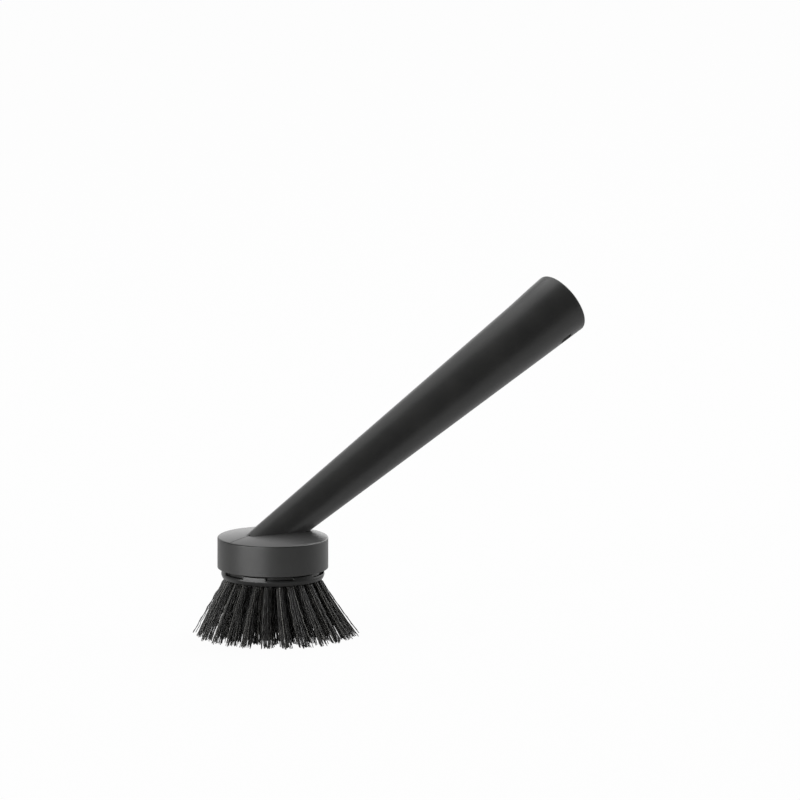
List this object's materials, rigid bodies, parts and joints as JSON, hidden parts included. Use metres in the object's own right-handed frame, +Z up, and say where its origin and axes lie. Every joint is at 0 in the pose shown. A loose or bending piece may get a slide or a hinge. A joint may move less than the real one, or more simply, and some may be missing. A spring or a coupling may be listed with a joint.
{
  "type": "dish brush",
  "caption": "Dish brush with a hollow tapered handle, a hanging slot under its end, a round crowned head and a twist-off refill of fanned bristle tufts.",
  "frame": {"origin": "on the head's axis, in the plane of the trimmed bristle tips that the brush stands on", "axes": "+Z up along the head's axis, +X from the head along the handle, XZ the brush's plane of symmetry"},
  "size_m": [0.2312, 0.0814, 0.1596],
  "materials": {
    "handle_plastic": "charcoal moulded plastic with a fine matt grain",
    "cap_plastic": "charcoal moulded plastic, matt",
    "block_plastic": "charcoal moulded plastic, a little rougher than the handle",
    "bristle_plastic": "black drawn filament with a soft sheen"
  },
  "bodies": {
    "handle": {"handle": "handle_plastic", "end_cap": "cap_plastic"},
    "refill": {"refill_block": "block_plastic", "tuft_outer_01": "bristle_plastic", "tuft_outer_02": "bristle_plastic", "tuft_outer_03": "bristle_plastic", "tuft_outer_04": "bristle_plastic", "tuft_outer_05": "bristle_plastic", "tuft_outer_06": "bristle_plastic", "tuft_outer_07": "bristle_plastic", "tuft_outer_08": "bristle_plastic", "tuft_outer_09": "bristle_plastic", "tuft_outer_10": "bristle_plastic", "tuft_outer_11": "bristle_plastic", "tuft_outer_12": "bristle_plastic", "tuft_outer_13": "bristle_plastic", "tuft_outer_14": "bristle_plastic", "tuft_outer_15": "bristle_plastic", "tuft_outer_16": "bristle_plastic", "tuft_outer_17": "bristle_plastic", "tuft_outer_18": "bristle_plastic", "tuft_outer_19": "bristle_plastic", "tuft_outer_20": "bristle_plastic", "tuft_outer_21": "bristle_plastic", "tuft_outer_22": "bristle_plastic", "tuft_outer_23": "bristle_plastic", "tuft_outer_24": "bristle_plastic", "tuft_middle_01": "bristle_plastic", "tuft_middle_02": "bristle_plastic", "tuft_middle_03": "bristle_plastic", "tuft_middle_04": "bristle_plastic", "tuft_middle_05": "bristle_plastic", "tuft_middle_06": "bristle_plastic", "tuft_middle_07": "bristle_plastic", "tuft_middle_08": "bristle_plastic", "tuft_middle_09": "bristle_plastic", "tuft_middle_10": "bristle_plastic", "tuft_middle_11": "bristle_plastic", "tuft_middle_12": "bristle_plastic", "tuft_middle_13": "bristle_plastic", "tuft_middle_14": "bristle_plastic", "tuft_middle_15": "bristle_plastic", "tuft_middle_16": "bristle_plastic", "tuft_middle_17": "bristle_plastic", "tuft_middle_18": "bristle_plastic", "tuft_inner_01": "bristle_plastic", "tuft_inner_02": "bristle_plastic", "tuft_inner_03": "bristle_plastic", "tuft_inner_04": "bristle_plastic", "tuft_inner_05": "bristle_plastic", "tuft_inner_06": "bristle_plastic", "tuft_inner_07": "bristle_plastic", "tuft_inner_08": "bristle_plastic", "tuft_inner_09": "bristle_plastic", "tuft_inner_10": "bristle_plastic", "tuft_inner_11": "bristle_plastic", "tuft_inner_12": "bristle_plastic", "tuft_core": "bristle_plastic"}
  },
  "joints": [
    {"name": "refill_twist", "type": "hinge", "parent": "handle", "child": "refill", "pos_m": [0, 0, 0.0342], "axis": [0, 0, -1], "range_deg": [0, 60]}
  ]
}
